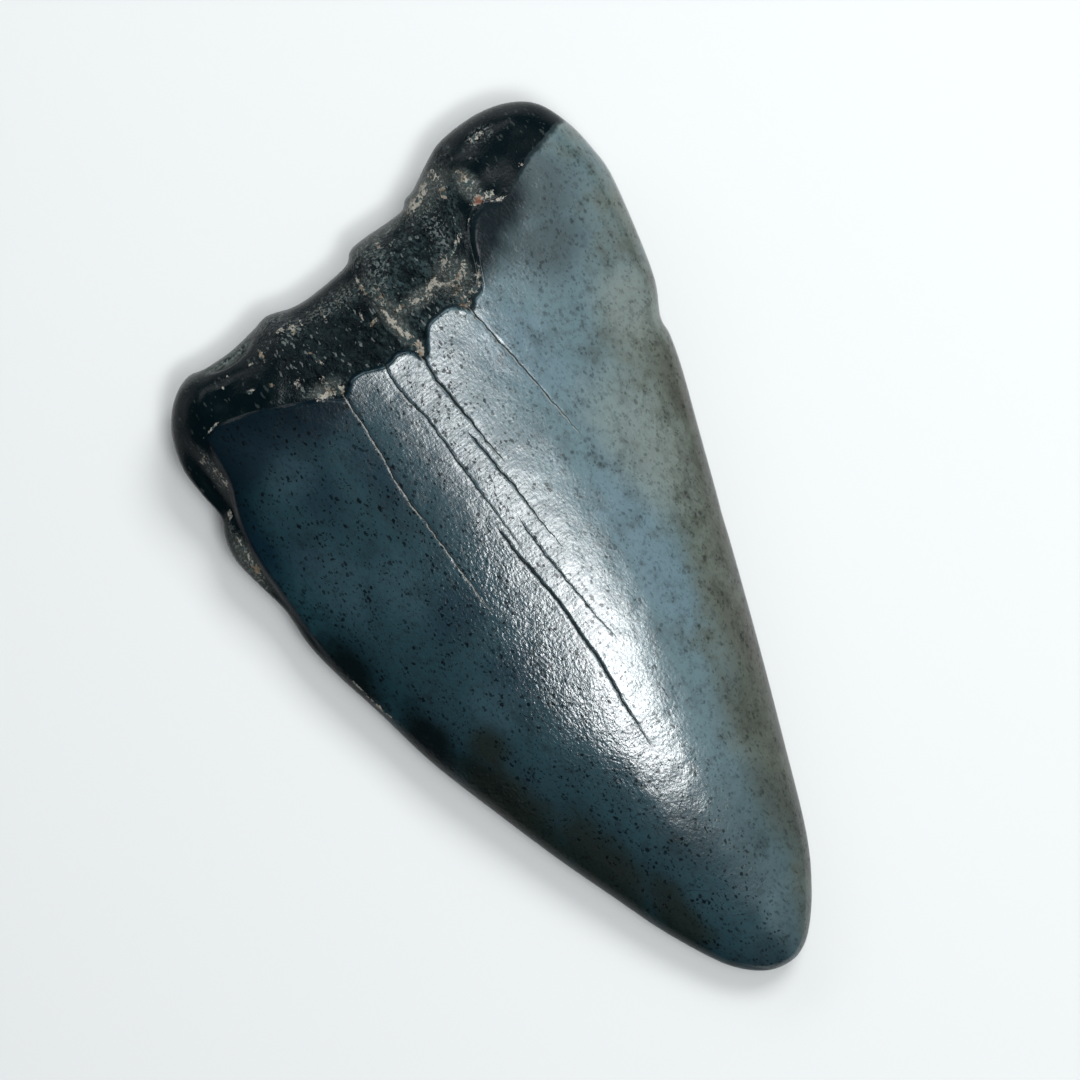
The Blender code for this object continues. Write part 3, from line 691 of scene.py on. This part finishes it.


# The finish. Mineral-stained enamel: slate blue, darker and bluer at the left and khaki grey along
# the right edge, with brown-black clouds, dark specks in tiny pits, and a worn gloss. The root is
# black, the rock in its hollows tan to nearly white, and one crumb rust red. Light is painted in
# too: painted shade on the crown's upper left, a painted highlight on the pale crack lips, and
# painted highlights on the raised grain and grit of the root.


class Shade:
    """A value, a vector or a colour of the finish, held by its socket. An expression on values
    adds its Math nodes to the tree in use."""

    tree = None

    def __init__(self, socket):
        self.socket = socket

    @classmethod
    def node(cls, kind, settings=None, inputs=None, output=0):
        """Adds a node: its settings first, then a value or a link for each socket named."""
        made = cls.tree.nodes.new("ShaderNode" + kind)
        for name, value in (settings or {}).items():
            setattr(made, name, value)
        for name, value in (inputs or {}).items():
            socket = cls.find(made.inputs, name)
            if isinstance(value, Shade):
                cls.tree.links.new(value.socket, socket)
            else:
                socket.default_value = value
        return cls(cls.find(made.outputs, output))

    @staticmethod
    def find(sockets, name):
        """The socket with this number, or else the first with this identifier or name."""
        if isinstance(name, int):
            return sockets[name]
        return next(s for s in sockets if name in (s.identifier, s.name))

    def beside(self, output):
        """Another output of the same node."""
        return Shade(self.find(self.socket.node.outputs, output))

    @classmethod
    def math(cls, operation, *values):
        """A Math node on one value or two."""
        return cls.node("Math", {"operation": operation}, dict(enumerate(values)))

    @classmethod
    def vector(cls, operation, *values, output=0):
        """A Vector Math node on one vector, two or three."""
        return cls.node("VectorMath", {"operation": operation}, dict(enumerate(values)), output)

    def __add__(self, other):
        return self.math("ADD", self, other)

    __radd__ = __add__

    def __sub__(self, other):
        return self.math("SUBTRACT", self, other)

    def __rsub__(self, other):
        return self.math("SUBTRACT", other, self)

    def __mul__(self, other):
        return self.math("MULTIPLY", self, other)

    __rmul__ = __mul__

    def __truediv__(self, other):
        return self.math("DIVIDE", self, other)

    def __abs__(self):
        return self.math("ABSOLUTE", self)


# The lamps light a level surface this much more than paint needs to look as it is given.
LIGHTING = 1.46


def paint(red, green, blue):
    """A colour given as it looks in the picture, 0 to 255, as the shader's linear values: the
    screen's curve is undone, and the result is divided by the lighting."""
    parts = [v / 255 for v in (red, green, blue)]
    linear = [v / 12.92 if v <= 0.04045 else ((v + 0.055) / 1.055) ** 2.4 for v in parts]
    return (*[v / LIGHTING for v in linear], 1)


def step(low, high, value):
    """0 below low and 1 above high, eased between them."""
    return Shade.node("MapRange", {"interpolation_type": "SMOOTHSTEP"},
                      {"Value": value, "From Min": low, "From Max": high})


def mix(share, first, second):
    """The first colour, blended by a share into the second."""
    return Shade.node("Mix", {"data_type": "RGBA"},
                      {"Factor_Float": share, "A_Color": first, "B_Color": second}, "Result_Color")


def blend(share, first, second):
    """The first value, blended by a share into the second."""
    return first + share * (second - first)


def largest(*values):
    """The greatest of these values."""
    found = values[0]
    for value in values[1:]:
        found = Shade.math("MAXIMUM", found, value)
    return found


def noise(place, pitch, detail=2.0, roughness=0.5):
    """Noise from about 0 to 1 whose lumps are this many mm apart."""
    return Shade.node("TexNoise", None,
                      {"Vector": place, "Scale": 1 / pitch, "Detail": detail, "Roughness": roughness})


def stored(label, output="Fac"):
    """What the mesh says about this point."""
    return Shade.node("Attribute", {"attribute_name": label}, None, output)


def parts_of(vector):
    """The three numbers of a vector."""
    first = Shade.node("SeparateXYZ", None, {0: vector}, "X")
    return first, first.beside("Y"), first.beside("Z")


def stretched(place, x, y, z=1.0, turn=0.0):
    """The same place, turned about Z and divided by these lengths, to draw a pattern out."""
    return Shade.node("Mapping", {"vector_type": "TEXTURE"},
                      {"Vector": place, "Rotation": (0, 0, turn), "Scale": (x, y, z)})


def specks(place, pitch, widest):
    """Ragged round specks, one to a cell: each as wide as the square of its cell's random number,
    and never quite nothing, which would divide by 0."""
    cells = {"Vector": place, "Scale": 1 / pitch}
    distance = Shade.node("TexVoronoi", {"feature": "F1"}, cells, "Distance")
    chance = Shade.node("SeparateColor", None, {"Color": distance.beside("Color")}, "Red")
    return 1 - step(0.75, 1.1, distance / (chance * chance * (widest / pitch) + 0.0001))


def scratch(place, start, end, half_width):
    """A straight scratch: the distance to the nearest point of the line between two ends, in mm."""
    run = (end[0] - start[0], end[1] - start[1])
    offset = Shade.vector("SUBTRACT", place, (*start, 0))
    offset = Shade.vector("MULTIPLY", offset, (1, 1, 0))
    share = Shade.vector("DOT_PRODUCT", offset, (*run, 0), output="Value")
    share = Shade.node("Clamp", None, {"Value": share / (run[0] ** 2 + run[1] ** 2)})
    foot = Shade.node("VectorMath", {"operation": "SCALE"}, {0: (*run, 0), "Scale": share})
    away = Shade.vector("DISTANCE", offset, foot, output="Value")
    return step(half_width, half_width * 0.3, away) * (1 - share * 0.5)


# Each scratch runs from one (x, y) in mm to another, fading on the way.
SCRATCH_HALF_WIDTH = 0.07
SCRATCHES = [
    ((-7.0, -32.0), (-4.5, -34.0)), ((-5.0, -36.5), (-3.0, -37.5)), ((-8.5, -10.5), (-3.5, -6.8)),
    ((12.4, 31.0), (13.1, 28.2)),
]
# Near black: the neck's own colour, and also the colour of the painted shade on the crown's upper left.
NECK_AND_SHADE = paint(4, 14, 20)
FACET = paint(73, 81, 78)
LEFT_BLUE = paint(26, 53, 61)
MID_BLUE = paint(37, 63, 71)
RIGHT_BLUE = paint(86, 109, 115)
KHAKI = paint(93, 101, 93)
EDGE_GREY = paint(72, 75, 68)
SPECK = paint(4, 9, 12)
# Pale grey beige: rock on a crack's left lip, and a painted highlight on that lip.
LIP_ROCK_AND_HIGHLIGHT = paint(140, 140, 132)
ROOT_BLACK = paint(2, 13, 17)
# Dark grey: the rough root's own grey, and a painted highlight on the raised tops of its grain.
ROOT_GREY = paint(46, 61, 63)
# Light grey: flecks and dust, and a painted highlight on the raised grit in the dusty patches.
DUST_AND_HIGHLIGHT_GREY = paint(103, 110, 108)
ROCK_PALE = paint(156, 152, 142)
ROCK_TAN = paint(116, 100, 82)
ROCK_RUST = paint(112, 66, 46)
RUST_PLACE = (13.6, 36.2, 12)
# Fine relief in mm: the height where the surface is smooth, and what wear or roughness adds to it.
PEEL_HEIGHT = (0.022, 0.03)
DIMPLE_HEIGHT = (0.014, 0.018)
STRIAE_HEIGHT = (0.003, 0.006)
GRIT_HEIGHT = (0.03, 0.2)
CRUST_HEIGHT = 0.3  # on the rough root alone
# The refraction that makes enamel reflect fully, and dentine, cracks and rock faintly.
FULL_IOR = 1.62
FAINT_IOR = 1.2


def stained(colour, stains, raggedness):
    """Lays each stain over a colour: full inside its clouds, and ragged where they fade out."""
    for stain, (tint, strength, _) in stains.items():
        share = step(1.2, 0.3, stored(stain) + raggedness) * strength
        colour = mix(share, colour, paint(*tint))
    return colour


def enamel_colour(across, y, broad, patchy, grainy):
    """Slate blue across the crown to khaki at its right edge, with clouds of stain."""
    drift = across + (broad - 0.5) * 0.5 + (patchy - 0.5) * 0.4
    colour = mix(step(-0.8, -0.2, drift), LEFT_BLUE, MID_BLUE)
    colour = mix(step(-0.1, 0.4, drift), colour, RIGHT_BLUE)
    colour = mix(step(0.5, 0.9, drift - step(12, 30, y) * 0.25), colour, KHAKI)
    colour = mix(step(0.82, 1.05, drift) * step(30, 10, y), colour, EDGE_GREY)
    colour = stained(colour, ENAMEL_STAINS, (broad - 0.5) * 0.9 + (patchy - 0.5) * 1.1)
    return mix(step(0.42, 0.75, patchy) * 0.35 + step(0.48, 0.72, grainy) * 0.35, colour, SPECK)


def crack_lines(place, wander):
    """How dark each point is with crack, and how pale along a crack's left lip, with rock and with a
    painted highlight where the raised lip catches the light.
    """
    dark, pale = [], []
    sides, half_widths, rock_and_highlights = (parts_of(stored("crack_" + name, "Vector"))
                                 for name in ("sides", "half_widths", "rock_and_highlights"))
    along_crack = noise(stretched(place, 0.45, 1.0), 0.55, 2.5, 0.7)
    broken = step(0.38, 0.56, along_crack)
    uneven = 0.1 + 1.7 * along_crack
    for side, half_width, fill in zip(sides, half_widths, rock_and_highlights):
        side, half_width = side + wander, half_width * uneven
        dark.append(step(0.05, -0.05, abs(side) - half_width))
        # The pale left lip, rock and painted highlight, drawn by each crack's share.
        lip = abs(side + half_width + 0.04) - 0.04
        pale.append(step(0.05, -0.03, lip) * step(0.01, 0.05, half_width) * fill)
    return largest(*dark), largest(*pale) * broken


def tooth_finish():
    """Works out where enamel, root, specks, cracks, dust and rock are, and where light and shade are
    painted in, then the colour, the roughness and the fine relief of each, and gives all three to two
    shaders, one of which reflects faintly. A share from 0 to 1 blends the full one into the faint one."""
    material = bpy.data.materials.new("fossil_enamel")
    material.use_nodes = True
    Shade.tree = tree = material.node_tree
    shader = tree.nodes["Principled BSDF"]

    place = Shade.node("VectorMath", {"operation": "SCALE"},
                       {0: Shade.node("TexCoord", None, None, "Object"), "Scale": 1 / MM})
    x, y, _ = parts_of(place)
    across, rough, neck = (stored(label) for label in ("across", "rough", "neck"))
    broad = noise(place, 8.0, 2.0)
    patchy = noise(stretched(place, 1.0, 1.5), 2.2, 4.0, 0.7)
    grainy = noise(stretched(place, 1.0, 1.3), 0.7, 3.0, 0.7)
    grit = noise(place, 0.32, 2.0, 0.7)
    crust = noise(stretched(place, 0.8, 1.3), 0.5, 2.0, 0.7)
    wobble = Shade.node("TexNoise", None, {"Vector": place, "Scale": 2.2, "Detail": 1.0}, "Color")
    warped = Shade.vector("MULTIPLY_ADD", wobble, (0.5, 0.5, 0.5), stretched(place, 0.85, 1.2))

    speck = largest(specks(warped, 0.5, 0.25), specks(warped, 0.31, 0.15) * 0.9)
    speck = speck * step(0.2, 0.6, patchy) * (1 - 0.5 * step(0.0, 0.5, across))
    scratches = largest(*[scratch(place, *ends, SCRATCH_HALF_WIDTH) for ends in SCRATCHES])
    crack, lip = crack_lines(place, (grainy - 0.5) * 0.3)
    ragged_edge = stored("enamel") + (noise(place, 0.9, 1.5) - 0.5) * 0.7
    root = step(0.08, -0.08, ragged_edge)
    fading = step(0.65, 0.2, ragged_edge)
    # Painted shade: the crown's upper left is darkened within 5 mm of the enamel's edge, from about y 19
    # mm up, and its reflection is made faint too.
    painted_shade_top_left = step(5.0, 0.2, ragged_edge) * step(-0.25, -0.4, across) * step(19, 26, y)
    # Grey where the grit stands up in the dusty patches: dust, and a painted highlight on the raised grit.
    dust_and_highlight = step(0.5, 0.62, grit) * step(0.12, 0.7, stored("dusty"))
    rock = step(0.45, 0.62, stored("crumbs") + (grit - 0.5) * 1.6) * step(0.02, 0.15, stored("crumbs"))

    enamel = enamel_colour(across, y, broad, patchy, grainy)
    # Near black on the neck and along the enamel's edge, and as painted shade on the crown's upper left.
    enamel = mix(largest(neck * 0.96, fading * 0.8, painted_shade_top_left * 0.6), enamel, NECK_AND_SHADE)
    enamel = mix(largest(speck * 0.9, scratches * 0.5, crack * 0.92), enamel, SPECK)
    # The pale line on a crack's left lip: rock in the crack, and a painted highlight where the raised lip
    # catches the light.
    enamel = mix(lip * 0.85, enamel, LIP_ROCK_AND_HIGHLIGHT)

    # Black dentine, greyer where it is rough, with flecks, dust and crumbs of rock. The grey on the
    # raised tops of the rough grain, and on the raised grit of the dusty patches, is partly painted
    # highlight.
    worn_and_highlit = rough * (0.35 + 0.65 * step(-6, 3, x)) * step(0.35, 0.6, patchy)
    grey_and_highlit = step(0.5, 0.72, patchy) * 0.1 + step(0.42, 0.62, crust) * worn_and_highlit * 0.9
    dentine = mix(grey_and_highlit, ROOT_BLACK, ROOT_GREY)
    dentine = stained(dentine, ROOT_STAINS, (patchy - 0.5) * 1.6 + (grit - 0.5) * 1.2)
    streaks = noise(stretched(place, 3.0, 0.5, 1.0, 0.1), 0.6, 1.0)
    dentine = mix(stored("scoop") * step(0.3, 0.6, streaks) * 0.8, dentine, FACET)
    flecks = specks(stretched(warped, 0.7, 1.6), 0.55, 0.24) * (0.15 + 0.6 * rough)
    dentine = mix(largest(flecks, dust_and_highlight * 0.75), dentine, DUST_AND_HIGHLIGHT_GREY)
    stone = mix(step(0.5, 0.62, patchy), ROCK_PALE, ROCK_TAN)
    stone = mix(step(0.45, 0.58, crust), stone, ROOT_GREY)
    rust = Shade.vector("DISTANCE", place, RUST_PLACE, output="Value")
    stone = mix(step(0.65, 0.3, rust + (grit - 0.5) * 1.5) * 0.8, stone, ROCK_RUST)
    colour = mix(rock * 0.9, mix(root, enamel, dentine), stone)

    # Fine relief: orange peel and cross striations on the enamel, and a grainy root.
    peel = noise(stretched(place, 0.8, 1.1), 0.36, 1.5, 0.6)
    dimples = noise(place, 0.6, 1.0)
    worn_left = step(0.12, -0.2, across) * step(14, 6, y) * step(-24, -14, y)
    striae = noise(stretched(place, 2.0, 0.24, 1.0, 0.05), 1.0, 0.0)
    enamel_height = (peel - 0.5) * (PEEL_HEIGHT[0] + PEEL_HEIGHT[1] * worn_left)
    enamel_height = enamel_height + (dimples - 0.5) * (DIMPLE_HEIGHT[0] + DIMPLE_HEIGHT[1] * worn_left)
    enamel_height = enamel_height + striae * (STRIAE_HEIGHT[0] + STRIAE_HEIGHT[1] * step(-14, -4, y))
    root_height = (grit - 0.5) * (GRIT_HEIGHT[0] + GRIT_HEIGHT[1] * rough)
    root_height = root_height + (crust - 0.5) * rough * CRUST_HEIGHT
    height = blend(step(0.1, -0.1, stored("enamel")), enamel_height, root_height)
    normal = Shade.node("Bump", None, {"Height": height, "Distance": MM})

    # Two shaders that differ only in how strongly they reflect: full for enamel, and faint for
    # dentine, specks, cracks, the dark rim at the left, and the painted shade on the crown's upper left.
    polish = 0.24 + (grainy - 0.5) * 0.1 + largest(crack, lip) * 0.4
    dull = 0.27 + rough * 0.25 + (grainy - 0.5) * 0.2 + largest(rock, dust_and_highlight) * 0.2
    gloss = blend(root, polish, dull)
    faint_shader = tree.nodes.new("ShaderNodeBsdfPrincipled")
    for part, refraction in ((shader, FULL_IOR), (faint_shader, FAINT_IOR)):
        part.inputs["IOR"].default_value = refraction
        for name, link in (("Base Color", colour), ("Roughness", gloss), ("Normal", normal)):
            tree.links.new(link.socket, part.inputs[name])
    faint = largest(root * (1 - rough * 0.4), rock, neck, speck * 0.95, crack * 0.95, fading)
    faint = largest(faint, painted_shade_top_left * 0.8, step(-0.72, -0.88, across))
    shaders = {0: faint, 1: Shade(shader.outputs[0]), 2: Shade(faint_shader.outputs[0])}
    both = Shade.node("MixShader", None, shaders)
    tree.links.new(both.socket, tree.nodes["Material Output"].inputs["Surface"])
    return material


tooth.data.materials.append(tooth_finish())


# The surface, the light and the camera. The tooth lies on a pale, matt surface under wide soft lamps
# that hang almost straight above it, with a dim panel at its right, a fill beyond the root and a side
# lamp between them. It is looked straight down on, turned so that its tip is at the lower right.

# The picture's scale holds at the level of the tooth's edge, and its centre lies a little towards
# the root from the tooth's.
VIEW_TURN = np.radians(-34)
PIXELS_PER_MM = 10
PICTURE = 1080
CAMERA_HEIGHT = 420 * MM
EDGE_LEVEL = 4 * MM
CENTRE = (0.0, 5.22 * MM)
FLOOR_HALF = 1.5  # metres
FLOOR_COLOUR = paint(215, 217, 217)
FLOOR_ROUGHNESS = 0.6


def floor_mesh(half):
    """A square plane whose sides lie this far from its middle."""
    corners = [(-half, -half, 0), (half, -half, 0), (half, half, 0), (-half, half, 0)]
    mesh = bpy.data.meshes.new("surface")
    mesh.from_pydata(corners, [], [(0, 1, 2, 3)])
    return mesh


surface = in_scene("surface", floor_mesh(FLOOR_HALF))
surface_paint = bpy.data.materials.new("pale_matt")
surface_paint.use_nodes = True
surface_shader = surface_paint.node_tree.nodes["Principled BSDF"]
surface_shader.inputs["Base Color"].default_value = FLOOR_COLOUR
surface_shader.inputs["Roughness"].default_value = FLOOR_ROUGHNESS
surface.data.materials.append(surface_paint)

# Each lamp is (name, height in metres, from and to across the tooth, from and to along it,
# brightness): across and along are tangents of angles from straight up, seen from the tooth.
LAMP_COLOUR = (0.97, 0.99, 1.0)
LAMPS = [
    ("key", 0.62, (-0.03, 0.27), (-0.35, -0.04), 12.5),
    ("glow", 0.60, (-0.08, 0.44), (-0.33, 0.22), 3.4),
    ("spot", 0.64, (-0.12, 0.18), (-0.38, -0.22), 28.0),
    ("panel", 0.45, (0.60, 1.70), (-0.80, 0.90), 0.4),
    ("fill", 0.50, (-1.20, 1.20), (1.40, 3.00), 3.5),
    ("side", 0.55, (0.50, 1.20), (0.20, 0.90), 17.0),
]
# The side lamp softens the shadow at the root and isn't mirrored in the gloss.
UNMIRRORED = ("side",)
for name, height, across_range, along_range, brightness in LAMPS:
    lamp = bpy.data.lights.new(name, "AREA")
    lamp.shape = "RECTANGLE"
    lamp.size = height * (across_range[1] - across_range[0])
    lamp.size_y = height * (along_range[1] - along_range[0])
    lamp.energy = brightness * np.pi * lamp.size * lamp.size_y
    lamp.color = LAMP_COLOUR
    holder = in_scene(name, lamp)
    holder.visible_glossy = name not in UNMIRRORED
    holder.location = (height * np.mean(across_range), height * np.mean(along_range), height)

ROOM_COLOUR = (0.8, 0.88, 0.95, 1)
ROOM_STRENGTH = 0.1
world = bpy.data.worlds.new("room")
world.use_nodes = True
background = world.node_tree.nodes["Background"]
background.inputs["Color"].default_value = ROOM_COLOUR
background.inputs["Strength"].default_value = ROOM_STRENGTH
bpy.context.scene.world = world
bpy.context.scene.view_settings.view_transform = "Standard"

camera = bpy.data.cameras.new("camera")
camera.sensor_width = 36
camera.lens = camera.sensor_width * CAMERA_HEIGHT / (PICTURE / PIXELS_PER_MM * MM)
camera.clip_start = 0.01
camera_holder = in_scene("camera", camera)
camera_holder.location = (*CENTRE, CAMERA_HEIGHT + EDGE_LEVEL)
camera_holder.rotation_euler = (0, 0, VIEW_TURN)
bpy.context.scene.camera = camera_holder
